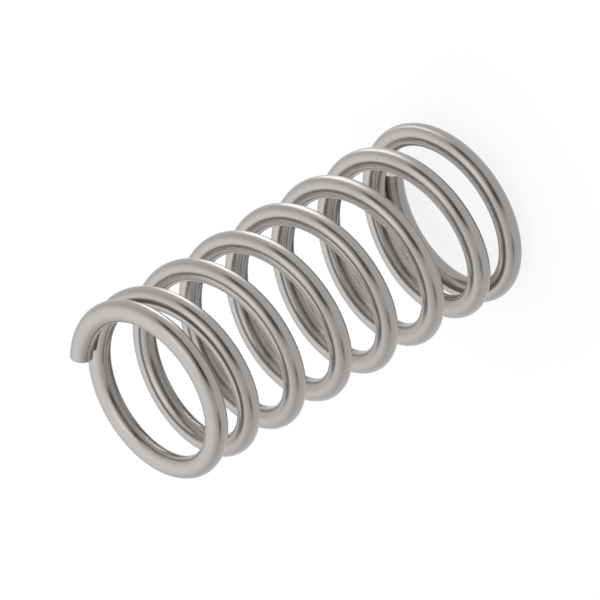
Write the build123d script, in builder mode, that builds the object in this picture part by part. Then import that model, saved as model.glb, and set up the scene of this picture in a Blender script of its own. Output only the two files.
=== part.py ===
from build123d import *
import os
from math import atan, cos, pi, radians, sin, tan

# Compression spring: one length of round spring wire, wound right-handed, with both ends
# closed and left unground, so each tip shows the square face that it was cut to.
# Millimetres. +Z runs up the coil's axis, the spring stands on one closed end, and the
# origin is on the axis, level with the lowest point of the wire.

os.makedirs("parts", exist_ok=True)

# Driving sizes, as a spring maker lists them
wire_diameter = 1.0
outside_diameter = 8.7
free_length = 20.0
active_turns = 6  # open turns, which take the load
closed_turns = 1  # at each end, wound down beside the next turn
closed_gap = 0.04  # slit left between a closed turn and the turn beside it
opening_turns = 0.25  # stretch of wire over which the pitch changes, in turns

# The wire's centre line is a chain of tangent arcs
arcs_per_turn = 8

# Sizes that follow from them
wire_radius = wire_diameter / 2
coil_radius = outside_diameter / 2 - wire_radius
total_turns = active_turns + 2 * closed_turns
arc_angle = radians(360 / arcs_per_turn)
arc_span = 2 * coil_radius * sin(arc_angle / 2)  # plan length of one arc's chord


def chord_slope(pitch):
    """Slope, in radians, of the chord of one arc that is wound at this pitch."""
    return atan(pitch / arcs_per_turn / arc_span)


# Closed ends: each tip is cut square to the wire, with its outer rim at the spring's end
closed_pitch = wire_diameter + closed_gap
tip_climb = tan(chord_slope(closed_pitch)) * cos(arc_angle / 2)
tip_height = wire_radius * cos(atan(tip_climb))
active_pitch = (free_length - 2 * tip_height - 2 * closed_turns * closed_pitch) / active_turns


def slope_at(turn):
    """Slope of the coil at a point of the wire, counted in turns from the lower tip."""
    from_tip = min(turn, total_turns - turn)
    opened = (from_tip - closed_turns) / opening_turns + 1 / 2
    opened = min(max(opened, 0), 1)
    return chord_slope(closed_pitch + (active_pitch - closed_pitch) * opened)


# Centre line. Each arc climbs at the mean of the slopes at its two ends, so it starts
# along the very line on which the arc before it ended, without a kink.
with BuildLine() as centre_line:
    place = Vector(coil_radius, 0, tip_height)
    heading = Vector(0, 1, tip_climb)
    for arc in range(total_turns * arcs_per_turn):
        turn, next_turn = arc / arcs_per_turn, (arc + 1) / arcs_per_turn
        climb = arc_span * tan((slope_at(turn) + slope_at(next_turn)) / 2)
        around = 2 * pi * next_turn
        next_place = Vector(
            coil_radius * cos(around), coil_radius * sin(around), place.Z + climb
        )
        bend = TangentArc(place, next_place, tangent=heading)
        place, heading = bend @ 1, bend % 1

# The wire: its round section, square to the tip, drawn along the centre line
path = centre_line.line
with BuildPart() as spring:
    with BuildSketch(Plane(origin=path @ 0, x_dir=(1, 0, 0), z_dir=path % 0)):
        Circle(wire_radius)
    sweep(path=path)

spring.part.label = "spring"
export_step(spring.part, "parts/spring.step")

wire_length = sum(edge.length for edge in path.edges())
wire_volume = pi * wire_radius**2 * wire_length
print("mean coil diameter", round(2 * coil_radius, 3), "active pitch", round(active_pitch, 4))
print("wire length", round(wire_length, 2), "spring height", round(place.Z + tip_height, 4))
print("volume against section times length", round(spring.part.volume / wire_volume, 6))
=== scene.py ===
# %% [markdown]
# # A compression spring in satin steel wire
#
# A compression spring is one length of wire, wound round a rod. This lesson winds that
# wire again in Blender, cuts its two tips, gives it the satin skin that drawn wire has,
# and sets it on a white floor under soft light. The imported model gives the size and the
# place of everything.

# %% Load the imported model
from math import atan, cos, pi, radians, sin, tau

import bmesh
import bpy
from mathutils import Euler, Matrix, Vector


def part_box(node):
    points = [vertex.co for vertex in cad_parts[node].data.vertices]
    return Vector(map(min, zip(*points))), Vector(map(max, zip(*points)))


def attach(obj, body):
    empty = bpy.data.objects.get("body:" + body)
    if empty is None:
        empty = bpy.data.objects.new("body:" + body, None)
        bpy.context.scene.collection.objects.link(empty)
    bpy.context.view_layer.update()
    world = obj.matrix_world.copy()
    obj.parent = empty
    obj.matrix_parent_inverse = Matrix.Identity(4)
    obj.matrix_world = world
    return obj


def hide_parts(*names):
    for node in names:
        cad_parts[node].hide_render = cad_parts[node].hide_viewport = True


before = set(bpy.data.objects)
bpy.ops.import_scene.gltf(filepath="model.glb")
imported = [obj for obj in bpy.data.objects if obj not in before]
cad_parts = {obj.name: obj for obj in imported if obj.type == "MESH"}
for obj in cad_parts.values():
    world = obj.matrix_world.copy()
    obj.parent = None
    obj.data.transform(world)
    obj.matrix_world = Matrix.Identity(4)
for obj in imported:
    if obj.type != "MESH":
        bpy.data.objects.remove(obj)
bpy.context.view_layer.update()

MM = 0.001  # one millimetre in Blender's metres

# %% [markdown]
# ## Sizes
#
# A spring maker orders a spring by its wire, its outside diameter, its free length and
# its turns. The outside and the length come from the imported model's box, so the wire
# wound here fills the same room. The wire and the turns are counted on the photograph.
# Both ends are closed, so the first and the last turn are wound down beside their
# neighbours, with only a hair's gap left between them.

# %% The sizes of the spring
low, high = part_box("spring")
wire_radius = 0.5 * MM
# Winding rounds each step off, so the coil is made a hair smaller than its box.
hair = 0.0002 * MM
coil_radius = (high.x - low.x) / 2 - wire_radius - hair
turns = 8
closed_turns = 1
closed_gap = 0.04 * MM
opening_turns = 0.25
free_length = high.z - low.z
print("coil radius", round(coil_radius / MM, 3), "mm")
print("free length", round(free_length / MM, 3), "mm")


# %% [markdown]
# ## Two small helpers
#
# Colours are easiest to note down as the hex values of a paint program, but the renderer
# counts in linear light. One function turns the first into the second. The other adds a
# node to a material, sets what it is given and links its inputs.

# %% Colour and node helpers
def linear(hex_colour):
    """The linear colour of an sRGB hex value, with alpha."""
    channels = [int(hex_colour[i : i + 2], 16) / 255 for i in (0, 2, 4)]
    return [c / 12.92 if c <= 0.04045 else ((c + 0.055) / 1.055) ** 2.4 for c in channels] + [1]


def add_node(tree, kind, settings=None, values=None, links=None):
    """Adds a node of a kind, with its settings, its input values and links into its inputs."""
    node = tree.nodes.new(kind)
    for name, value in (settings or {}).items():
        setattr(node, name, value)
    for name, value in (values or {}).items():
        node.inputs[name].default_value = value
    for name, socket in (links or {}).items():
        tree.links.new(socket, node.inputs[name])
    return node


# %% [markdown]
# ## The camera
#
# The photograph shows the spring without perspective: its coils stay as wide far off as
# they are close by. An orthographic camera sees in that way. The spring lies across the
# picture there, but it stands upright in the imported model, so the camera is rolled
# instead of the spring. Its three angles come from fitting a coil to the outline of the
# wire in the photograph.

# %% Camera
camera_data = bpy.data.cameras.new("camera")
camera_data.type = "ORTHO"
camera_data.ortho_scale = 25.87 * MM
camera_data.clip_start, camera_data.clip_end = 0.001, 10

azimuth, elevation, roll = -134.32, 34.705, -121.007
look = Euler((radians(90 - elevation), 0, radians(azimuth + 90))).to_matrix()
look = look @ Matrix.Rotation(radians(roll), 3, "Z")
middle = Vector((0, 0, (low.z + high.z) / 2))

camera_away = 0.3
camera_place = middle + look @ Vector((0, 0, camera_away))
camera = bpy.data.objects.new("camera", camera_data)
camera.matrix_world = Matrix.Translation(camera_place) @ look.to_4x4()
bpy.context.collection.objects.link(camera)
bpy.context.scene.camera = camera
print("the camera looks along", [round(v, 3) for v in look @ Vector((0, 0, -1))])

# %% [markdown]
# ## The floor
#
# A sheet of white paper is the usual ground for a small part. It is a large disc, cut from
# a circle. Its material has two halves: a matt white that takes the light and the soft
# shadow, and a glow that lifts it to the clean white of a catalogue page. The camera sees
# that white, and so do the rays that the wire mirrors.

# %% Floor
def mesh_object(name, bm):
    """An object at the origin that holds the mesh."""
    mesh = bpy.data.meshes.new(name)
    bm.to_mesh(mesh)
    bm.free()
    made = bpy.data.objects.new(name, mesh)
    bpy.context.collection.objects.link(made)
    return made


paper_radius = 0.6
bm = bmesh.new()
bmesh.ops.create_circle(bm, cap_ends=True, segments=64, radius=paper_radius)
floor = mesh_object("white_paper_floor", bm)
print("the paper reaches", paper_radius, "m from the spring")

# %% White paper
# The matt half gives back the soft shadow, and the glow makes up the rest of the white.
paper = bpy.data.materials.new("matt_white_paper")
paper.use_nodes = True
tree = paper.node_tree
tree.nodes.clear()
rays = add_node(tree, "ShaderNodeLightPath")
seen = add_node(tree, "ShaderNodeMath", {"operation": "MAXIMUM"},
                links={0: rays.outputs["Is Camera Ray"], 1: rays.outputs["Is Glossy Ray"]})
seen = add_node(tree, "ShaderNodeMath", {"operation": "MAXIMUM"},
                links={0: seen.outputs[0], 1: rays.outputs["Is Transmission Ray"]})
glow_strength = 0.85
matt = add_node(tree, "ShaderNodeBsdfDiffuse", values={"Color": linear("656565")})
glow = add_node(tree, "ShaderNodeMath", {"operation": "MULTIPLY"}, {1: glow_strength},
                {0: seen.outputs[0]})
glow = add_node(tree, "ShaderNodeEmission", values={"Color": (1, 1, 1, 1)},
                links={"Strength": glow.outputs[0]})
both = add_node(tree, "ShaderNodeAddShader",
                links={0: matt.outputs[0], 1: glow.outputs[0]})
add_node(tree, "ShaderNodeOutputMaterial", links={"Surface": both.outputs[0]})
floor.data.materials.append(paper)

# %% [markdown]
# ## The light
#
# Bright metal shows its surroundings more than its own colour, so the light is really
# the room. The room here has even white walls, two soft windows of light and one side
# that nobody lit, low down behind the camera. Between the white floor and the first
# window, that dark side draws the dark line that runs along every turn of the wire. A
# narrow dark doorway further round breaks up the grey of the outer faces.
#
# A narrow spot makes a pool of light on the paper beside the spring, which the metal
# mirrors as a highlight. It looks straight down, so it doesn't shine on the spring.

# %% The room
world = bpy.data.worlds.new("white_studio")
bpy.context.scene.world = world
world.use_nodes = True
tree = world.node_tree
tree.nodes.clear()
looking = add_node(tree, "ShaderNodeTexCoord").outputs["Object"]


def direction(azimuth, elevation):
    """The direction of a compass angle from +X towards +Y and a height, both in degrees."""
    a, e = radians(azimuth), radians(elevation)
    return Vector((cos(a) * cos(e), sin(a) * cos(e), sin(e)))


def patch(azimuth, elevation, core, spread, outside, inside):
    """A round patch of the room, even within its core and fading out to its spread, in degrees."""
    near = add_node(tree, "ShaderNodeVectorMath", {"operation": "DOT_PRODUCT"},
                    {1: direction(azimuth, elevation)}, {0: looking})
    return add_node(tree, "ShaderNodeMapRange", {"interpolation_type": "SMOOTHSTEP"},
                    {"From Min": cos(radians(spread)), "From Max": cos(radians(core)),
                     "To Min": outside, "To Max": inside},
                    {"Value": near.outputs["Value"]}).outputs["Result"]


# The walls are even, apart from the side that nobody lit. The doorway is darker than the
# wall round it, so it multiplies. The window and the skylight add their own light.
walls = patch(-120, 0, core=40, spread=53, outside=0.9, inside=0.02)
doorway = patch(150, 0, core=5, spread=20, outside=1, inside=0.1)
window = patch(-113, 43, core=0, spread=36, outside=0, inside=0.84)
skylight = patch(27, 67, core=0, spread=79, outside=0, inside=0.7)
walls = add_node(tree, "ShaderNodeMath", {"operation": "MULTIPLY"}, links={0: walls, 1: doorway})
lit = add_node(tree, "ShaderNodeMath", {"operation": "ADD"}, links={0: window, 1: skylight})
room = add_node(tree, "ShaderNodeMath", {"operation": "ADD"},
                links={0: walls.outputs[0], 1: lit.outputs[0]})
room = add_node(tree, "ShaderNodeBackground", values={"Color": (1, 1, 1, 1)},
                links={"Strength": room.outputs[0]})
add_node(tree, "ShaderNodeOutputWorld", links={"Surface": room.outputs[0]})

# %% The spot on the paper
spot_height = 0.3
pool_azimuth, pool_distance = -45, 0.018
spot_data = bpy.data.lights.new("paper_spot", "SPOT")
spot_data.energy = 60
spot_data.spot_size, spot_data.spot_blend = radians(4.4), 1
spot_data.shadow_soft_size = 0.002
spot = bpy.data.objects.new("paper_spot", spot_data)
spot.location = direction(pool_azimuth, 0) * pool_distance + Vector((0, 0, spot_height))
bpy.context.collection.objects.link(spot)
print("the pool lies", pool_distance / MM, "mm from the coil's axis")

# %% [markdown]
# ## The wire
#
# The real spring starts as straight wire. A coiling machine pushes it against two pins,
# which bend it into a circle, and a wedge spreads the turns apart. Blender could bend a
# straight tube with a curve, or screw a circle with a modifier. The spin operator is
# closest to the machine: it turns the wire's round section about the coil's axis and
# lifts it a little with each step, and the lift can change where the turns open.
#
# Each point also remembers where it was in the straight wire, in millimetres. The marks
# of drawing run along the wire, so the material needs that later.

# %% The stretches of the wire
steps_per_turn = 72
round_points = 48

closed_pitch = 2 * wire_radius + closed_gap
tip_height = wire_radius * cos(atan(closed_pitch / (tau * coil_radius)))
height_left = free_length - 2 * tip_height - 2 * closed_turns * closed_pitch
open_pitch = height_left / (turns - 2 * closed_turns)

opening_steps = round(opening_turns * steps_per_turn)
closed_steps = round(closed_turns * steps_per_turn) - opening_steps // 2
open_steps = turns * steps_per_turn - 2 * (closed_steps + opening_steps)

# Each stretch is a number of steps and the pitch that they are wound at. The pitch opens
# evenly, one step after the other, and closes again in the same way.
opening = [(1, closed_pitch + (open_pitch - closed_pitch) * (step + 0.5) / opening_steps)
           for step in range(opening_steps)]
stretches = [(closed_steps, closed_pitch), *opening, (open_steps, open_pitch),
             *reversed(opening), (closed_steps, closed_pitch)]
print("closed pitch", round(closed_pitch / MM, 3), "mm")
print("open pitch", round(open_pitch / MM, 3), "mm")


# %% The lower tip: a round section, square to the wire
def slope_of(pitch):
    """How far the wire leans out of the coil's plane at this pitch."""
    return atan(pitch / (tau * coil_radius))


bm = bmesh.new()
bmesh.ops.create_circle(bm, segments=round_points, radius=wire_radius)
section = [point.co / MM for point in bm.verts]
bmesh.ops.rotate(bm, verts=bm.verts, cent=(0, 0, 0),
                 matrix=Matrix.Rotation(pi / 2 + slope_of(closed_pitch), 3, "X"))
bmesh.ops.translate(bm, verts=bm.verts, vec=(coil_radius, 0, low.z + tip_height))
first_rim = list(bm.edges)

# %% Wind the wire
rim, pitch = list(bm.verts) + list(bm.edges), closed_pitch
along = [0]
for steps, next_pitch in stretches:
    # The end of the wire leans over as the pitch changes, so that it stays square to it.
    points = [part for part in rim if isinstance(part, bmesh.types.BMVert)]
    centre = sum((point.co for point in points), Vector()) / round_points
    outwards = Vector((centre.x, centre.y, 0))
    bmesh.ops.rotate(bm, verts=points, cent=centre,
                     matrix=Matrix.Rotation(slope_of(next_pitch) - slope_of(pitch), 3, outwards))
    pitch, climb = next_pitch, next_pitch / steps_per_turn
    rim = bmesh.ops.spin(bm, geom=rim, cent=(0, 0, 0), axis=(0, 0, 1), dvec=(0, 0, climb),
                         angle=steps * tau / steps_per_turn, steps=steps)["geom_last"]
    stride = ((tau / steps_per_turn * coil_radius) ** 2 + climb**2) ** 0.5 / MM
    along += [along[-1] + stride * (step + 1) for step in range(steps)]
last_rim = [part for part in rim if isinstance(part, bmesh.types.BMEdge)]
print("wire wound:", round(along[-1], 2), "mm in", len(along) - 1, "steps")

# %% Remember the straight wire
# Spin adds its points ring by ring, in the order of the first ring.
straight = bm.verts.layers.float_vector.new("straight_wire")
for number, point in enumerate(bm.verts):
    ring, place = divmod(number, round_points)
    point[straight] = (section[place].x, section[place].y, along[ring])

# %% [markdown]
# ## The cut tips
#
# The wire is cut off square with a blade against the coiling rod. That leaves a flat
# round face with a crisp rim, only slightly broken by handling. The two open ends of the
# tube are filled, and their rims get a bevel of a few hundredths of a millimetre.

# %% Close the tips and break their rims
rim_break = 0.02 * MM
for rim_edges in (first_rim, last_rim):
    bmesh.ops.edgeloop_fill(bm, edges=rim_edges)
bmesh.ops.recalc_face_normals(bm, faces=bm.faces)
bmesh.ops.bevel(bm, geom=first_rim + last_rim, affect="EDGES", offset=rim_break,
                segments=3, profile=0.5, material=-1)
# Only the two cut faces have more than four corners. They stay flat and get the second
# material.
for face in bm.faces:
    sheared = len(face.verts) > 4
    face.smooth, face.material_index = not sheared, int(sheared)


# %% Put the mesh in order
def put_in_order(parts, key):
    """Sorts the points or the faces of a mesh by a key."""
    for number, part in enumerate(sorted(parts, key=key)):
        part.index = number
    parts.sort()


# Bevel adds its points and faces in an order that changes from run to run. Sorted by
# place, the points and then the faces come out the same every time.
put_in_order(bm.verts, lambda point: tuple(point.co))
put_in_order(bm.faces, lambda face: sorted(point.index for point in face.verts))
wire = mesh_object("spring_wire", bm)
cut_faces = sum(face.material_index for face in wire.data.polygons)
print("faces", len(wire.data.polygons), "of which cut faces", cut_faces)

# %% [markdown]
# ## Satin drawn wire
#
# Spring wire is pulled through a die, which leaves a smooth skin with a satin sheen and
# faint marks along its length. It is bare metal, so all its colour is in the reflection:
# a slightly warm grey. The sheen comes from roughness, which varies a little along the
# marks, and a slight bump lets the marks catch the light.

# %% Material of the wire
steel = bpy.data.materials.new("satin_drawn_stainless_steel")
steel.use_nodes = True
tree = steel.node_tree
tree.nodes.clear()
unwound = add_node(tree, "ShaderNodeAttribute", {"attribute_name": "straight_wire"})
stretched = add_node(tree, "ShaderNodeMapping", values={"Scale": (1, 1, 0.01)},
                     links={"Vector": unwound.outputs["Vector"]})
# Real die marks are a few thousandths of a millimetre apart, too fine to show here, so
# these are drawn about a tenth of a millimetre apart, and they run on for a centimetre.
marks = add_node(tree, "ShaderNodeTexNoise", values={"Scale": 10, "Detail": 2, "Roughness": 0.6},
                 links={"Vector": stretched.outputs["Vector"]})
clouds = add_node(tree, "ShaderNodeTexNoise", values={"Scale": 0.8, "Detail": 2},
                  links={"Vector": unwound.outputs["Vector"]})
sheen = add_node(tree, "ShaderNodeMix", {"data_type": "FLOAT"}, {"Factor": 0.5},
                 {"A": marks.outputs["Fac"], "B": clouds.outputs["Fac"]})
sheen = add_node(tree, "ShaderNodeMapRange",
                 values={"From Min": 0.3, "From Max": 0.7, "To Min": 0.24, "To Max": 0.28},
                 links={"Value": sheen.outputs["Result"]})
tone = add_node(tree, "ShaderNodeMix", {"data_type": "RGBA"},
                links={"Factor": marks.outputs["Fac"]})
tone.inputs["A"].default_value = linear("A29F9D")
tone.inputs["B"].default_value = linear("9D9A98")
relief = add_node(tree, "ShaderNodeBump", values={"Strength": 0.3, "Distance": 0.01 * MM},
                  links={"Height": marks.outputs["Fac"]})
metal = add_node(tree, "ShaderNodeBsdfPrincipled", values={"Metallic": 1},
                 links={"Base Color": tone.outputs["Result"], "Roughness": sheen.outputs["Result"],
                        "Normal": relief.outputs["Normal"]})
add_node(tree, "ShaderNodeOutputMaterial", links={"Surface": metal.outputs[0]})
wire.data.materials.append(steel)

# %% [markdown]
# ## Sheared steel
#
# The cut faces never went through the die, so they are cleaner and paler than the skin.
# The blade rubs the first part of its way smooth, and the rest tears, which leaves it
# duller and a little rough. Fine lines cross the face in the direction that the blade
# went. All of this is drawn on the wire's round section, by the same attribute.

# %% Material of the cut faces
cut = bpy.data.materials.new("bright_sheared_steel")
cut.use_nodes = True
tree = cut.node_tree
tree.nodes.clear()
unwound = add_node(tree, "ShaderNodeAttribute", {"attribute_name": "straight_wire"})
stretched = add_node(tree, "ShaderNodeMapping", values={"Scale": (0.15, 1, 0)},
                     links={"Vector": unwound.outputs["Vector"]})
scores = add_node(tree, "ShaderNodeTexNoise", values={"Scale": 14, "Detail": 2},
                  links={"Vector": stretched.outputs["Vector"]})
# X runs outwards from the coil's axis. The torn part starts at the middle of the section.
across = add_node(tree, "ShaderNodeSeparateXYZ", links={"Vector": unwound.outputs["Vector"]})
torn = add_node(tree, "ShaderNodeMapRange", values={"From Min": 0.0, "From Max": -0.15},
                links={"Value": across.outputs["X"]})
tone = add_node(tree, "ShaderNodeMix", {"data_type": "RGBA"},
                links={"Factor": torn.outputs["Result"]})
tone.inputs["A"].default_value = linear("D2D0CE")
tone.inputs["B"].default_value = linear("C6C4C1")
sheen = add_node(tree, "ShaderNodeMapRange", values={"To Min": 0.28, "To Max": 0.45},
                 links={"Value": torn.outputs["Result"]})
relief = add_node(tree, "ShaderNodeBump", values={"Strength": 0.5, "Distance": 0.01 * MM},
                  links={"Height": scores.outputs["Fac"]})
metal = add_node(tree, "ShaderNodeBsdfPrincipled", values={"Metallic": 1},
                 links={"Base Color": tone.outputs["Result"], "Roughness": sheen.outputs["Result"],
                        "Normal": relief.outputs["Normal"]})
add_node(tree, "ShaderNodeOutputMaterial", links={"Surface": metal.outputs[0]})
wire.data.materials.append(cut)
print("the wire carries", [material.name for material in wire.data.materials])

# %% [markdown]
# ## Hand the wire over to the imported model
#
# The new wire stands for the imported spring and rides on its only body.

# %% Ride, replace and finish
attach(wire, "root")
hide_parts("spring")

bpy.context.scene.view_settings.view_transform = "Standard"
